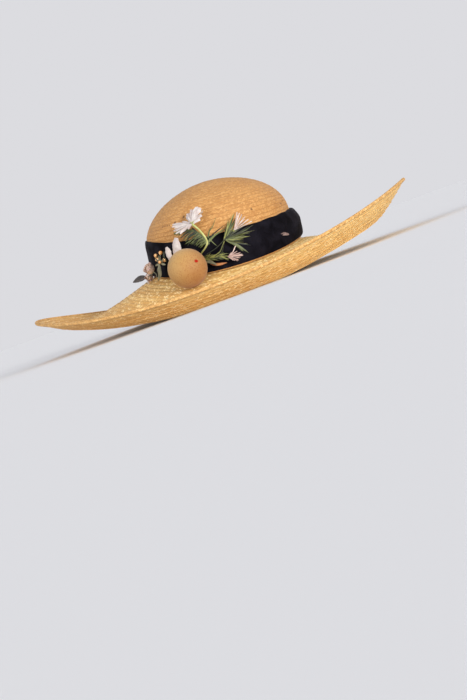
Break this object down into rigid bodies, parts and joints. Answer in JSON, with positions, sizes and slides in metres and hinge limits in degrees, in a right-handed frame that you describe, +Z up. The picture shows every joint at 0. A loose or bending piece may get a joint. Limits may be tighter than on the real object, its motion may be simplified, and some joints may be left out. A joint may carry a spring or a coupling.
{
  "type": "wide brim straw hat",
  "caption": "Wide brim straw hat with a low round crown, a broad dark ribbon and a trim of fruit, flowers and leaves, worn to shade the face.",
  "frame": {"origin": "on the plane the hat rests on, under the middle of its brim", "axes": "+Z up through the crown, -Y towards the front, +X towards the side whose brim stands highest"},
  "size_m": [0.4413, 0.4451, 0.128],
  "materials": {
    "straw": "sewn rows of plaited straw, satin",
    "velvet": "near-black velvet ribbon",
    "fruit": "pressed paper, matt, finely speckled",
    "petal_white": "stiffened cloth, matt",
    "petal_pink": "stiffened cloth, matt",
    "rose_pink": "rolled cloth, matt",
    "needle_green": "dyed fibre, satin",
    "stem_green": "cloth-covered wire",
    "olive_green": "dyed cloth, matt",
    "dark_leaf": "dyed velvet, matt",
    "berry_orange": "lacquered bead"
  },
  "bodies": {
    "root": {"brim_inner": "straw", "brim_outer": "straw", "brim_edge": "straw", "crown": "straw", "bandeau": "straw", "hat_band": "velvet", "fruit": "fruit", "petal_upper": "petal_white", "petal_lower": "petal_white", "white_flower": "petal_white", "brush_flower_lower": "petal_pink", "brush_flower_upper": "petal_pink", "band_petal": "petal_pink", "rosebud_upper": "rose_pink", "rosebud_lower": "rose_pink", "feather_leaf": "needle_green", "grass_blades": "needle_green", "sprig_lower": "needle_green", "sprig_upper": "needle_green", "flower_stem": "stem_green", "berry_calyx": "olive_green", "olive_leaf": "olive_green", "dark_leaf": "dark_leaf", "berry_1": "berry_orange", "berry_2": "berry_orange", "berry_3": "berry_orange", "berry_4": "berry_orange"}
  },
  "joints": []
}
